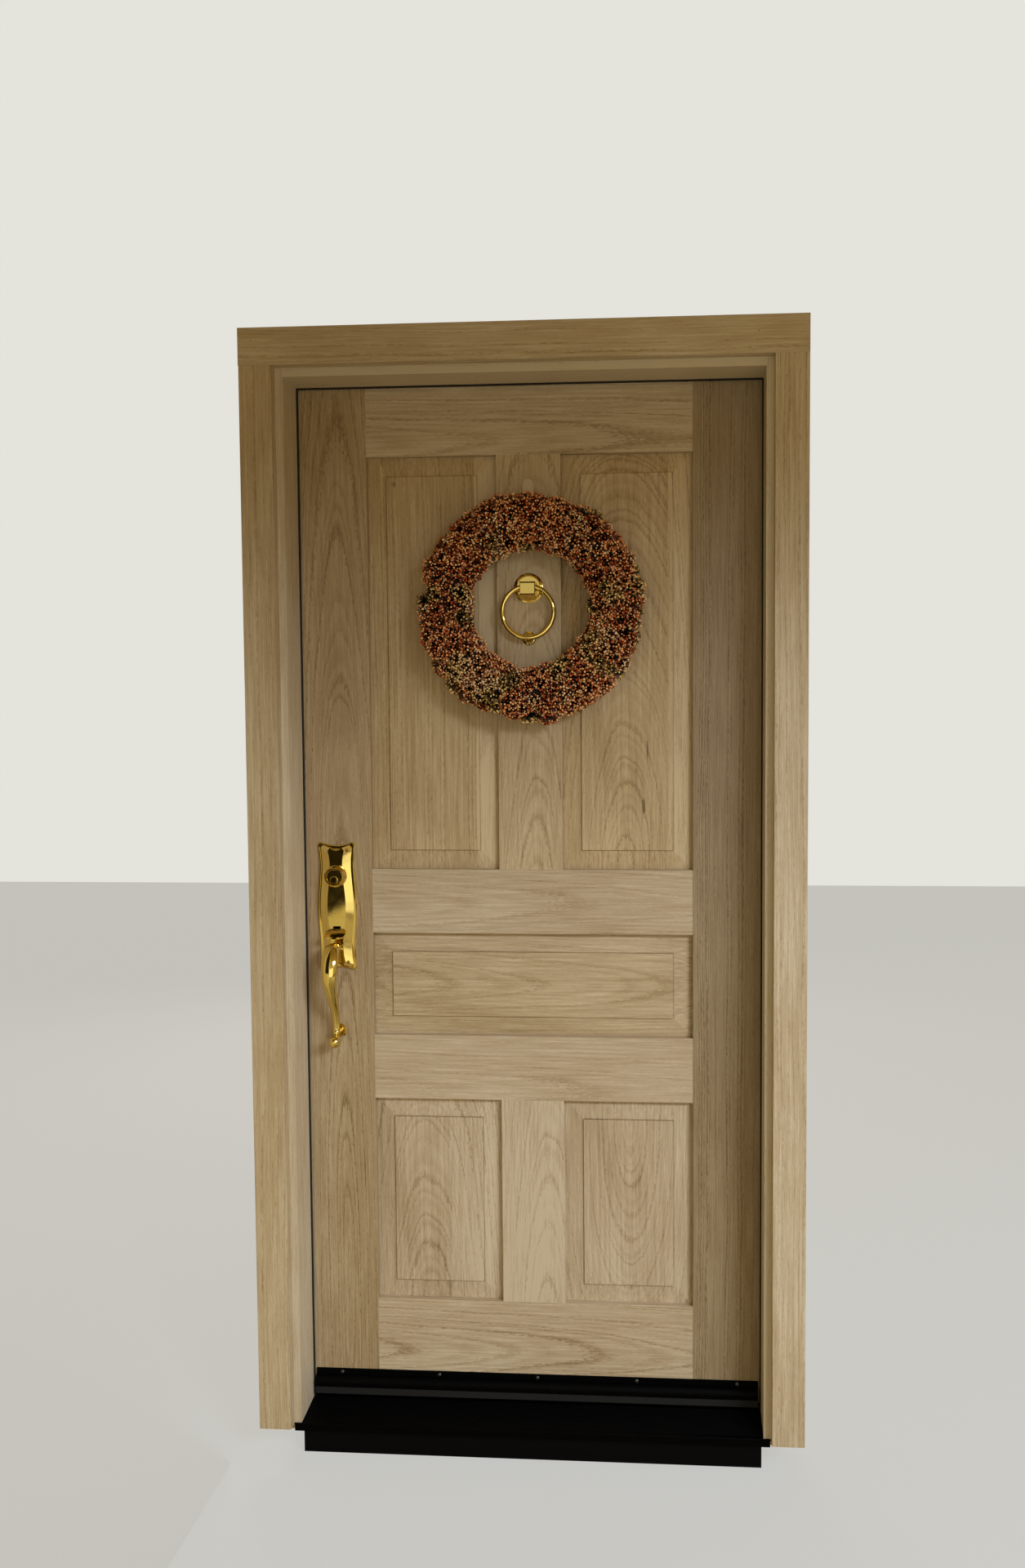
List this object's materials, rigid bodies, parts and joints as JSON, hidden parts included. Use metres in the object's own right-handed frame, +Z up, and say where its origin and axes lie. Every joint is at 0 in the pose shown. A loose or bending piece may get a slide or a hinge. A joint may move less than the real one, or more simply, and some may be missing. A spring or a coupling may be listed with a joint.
{
  "type": "panelled front door",
  "caption": "Pre-hung panelled oak front door with jambs, casings, sill, butt hinges, lever-thumb handle set, deadbolt, ring knocker and a hanging wreath.",
  "frame": {"origin": "middle of the underside of the sill's wooden core, in the plane of the leaf's street face", "axes": "+X to the right seen from the street, +Y into the house, +Z up"},
  "size_m": [1.047, 0.2187, 2.1518],
  "materials": {
    "leaf_oak": "satin clear-coated weathered oak",
    "frame_oak": "satin clear-coated weathered oak",
    "black_aluminium": "black anodised, satin",
    "black_board": "black painted board",
    "cap_wood": "oiled hardwood",
    "core_wood": "raw sawn softwood",
    "strip_foam": "matt brown skinned foam",
    "fin_rubber": "matt black",
    "antique_brass": "hand-worn antique brass",
    "bright_brass": "satin brass",
    "dark_screw": "black oxide",
    "clear_plastic": "clear, glossy",
    "berries": "matt waxy foam seeds in peach, rust and green"
  },
  "bodies": {
    "frame": {"head_jamb": "frame_oak", "hinge_jamb": "frame_oak", "strike_jamb": "frame_oak", "head_casing": "frame_oak", "left_casing": "frame_oak", "right_casing": "frame_oak", "sill_tread": "black_aluminium", "sill_core": "core_wood", "threshold_cap": "cap_wood", "sill_apron": "black_board", "head_weatherstrip": "strip_foam", "hinge_weatherstrip": "strip_foam", "strike_weatherstrip": "strip_foam", "deadbolt_strike": "bright_brass", "latch_strike": "bright_brass", "top_hinge_jamb_plate": "bright_brass", "middle_hinge_jamb_plate": "bright_brass", "bottom_hinge_jamb_plate": "bright_brass", "hinge_pins": "bright_brass", "jamb_screws": "bright_brass"},
    "leaf": {"lock_stile": "leaf_oak", "hinge_stile": "leaf_oak", "top_rail": "leaf_oak", "lock_rail": "leaf_oak", "middle_rail": "leaf_oak", "bottom_rail": "leaf_oak", "upper_mullion": "leaf_oak", "lower_mullion": "leaf_oak", "upper_left_panel": "leaf_oak", "upper_right_panel": "leaf_oak", "middle_panel": "leaf_oak", "lower_left_panel": "leaf_oak", "lower_right_panel": "leaf_oak", "door_sweep": "black_aluminium", "sweep_fin": "fin_rubber", "handle_plate": "antique_brass", "cylinder_collar": "antique_brass", "grip_handle": "antique_brass", "grip_foot": "antique_brass", "knocker_plate": "antique_brass", "knocker_stud": "antique_brass", "turn_rose": "antique_brass", "knob_rose": "antique_brass", "plate_screws": "antique_brass", "deadbolt_case": "bright_brass", "latch_case": "bright_brass", "top_hinge_leaf_plate": "bright_brass", "middle_hinge_leaf_plate": "bright_brass", "bottom_hinge_leaf_plate": "bright_brass", "hinge_leaf_screws": "bright_brass", "sweep_screws": "dark_screw", "wreath_hook": "clear_plastic", "wreath": "berries"},
    "thumb": {"thumb_piece": "antique_brass"},
    "latch": {"latch_bolt": "bright_brass"},
    "turn": {"turn_piece": "antique_brass"},
    "deadbolt": {"deadbolt_bolt": "bright_brass"},
    "plug": {"key_plug": "bright_brass"},
    "knob": {"interior_knob": "antique_brass"},
    "ring": {"knocker_ring": "antique_brass"}
  },
  "joints": [
    {"name": "leaf_swing", "type": "hinge", "parent": "frame", "child": "leaf", "pos_m": [0.4555, 0.0515, 1.03], "axis": [0, 0, -1], "range_deg": [0, 110]},
    {"name": "thumb_press", "type": "hinge", "parent": "leaf", "child": "thumb", "pos_m": [-0.384, 0.004, 0.983], "axis": [-1, 0, 0], "range_deg": [0, 12], "stiffness_Nm_per_rad": 0.4, "springref_deg": 12},
    {"name": "latch_slide", "type": "slide", "parent": "leaf", "child": "latch", "axis": [-1, 0, 0], "range_m": [0, 0.0125]},
    {"name": "turn_piece_turn", "type": "hinge", "parent": "leaf", "child": "turn", "pos_m": [-0.384, 0.06, 1.085], "axis": [0, 1, 0], "range_deg": [0, 90]},
    {"name": "deadbolt_slide", "type": "slide", "parent": "leaf", "child": "deadbolt", "axis": [-1, 0, 0], "range_m": [0, 0.025]},
    {"name": "key_plug_turn", "type": "hinge", "parent": "leaf", "child": "plug", "pos_m": [-0.384, -0.02, 1.079], "axis": [0, -1, 0], "range_deg": [-90, 90]},
    {"name": "knob_turn", "type": "hinge", "parent": "leaf", "child": "knob", "pos_m": [-0.384, 0.08, 0.945], "axis": [0, 1, 0], "range_deg": [-55, 55], "stiffness_Nm_per_rad": 0.5},
    {"name": "knocker_swing", "type": "hinge", "parent": "leaf", "child": "ring", "pos_m": [0, -0.017, 1.6425], "axis": [-1, 0, 0], "range_deg": [0, 100]}
  ],
  "couplings": [
    {"joint": "latch_slide", "follows": "thumb_press", "m_per_rad": 0.059682},
    {"joint": "turn_piece_turn", "follows": "deadbolt_slide", "rad_per_m": 62.832}
  ]
}
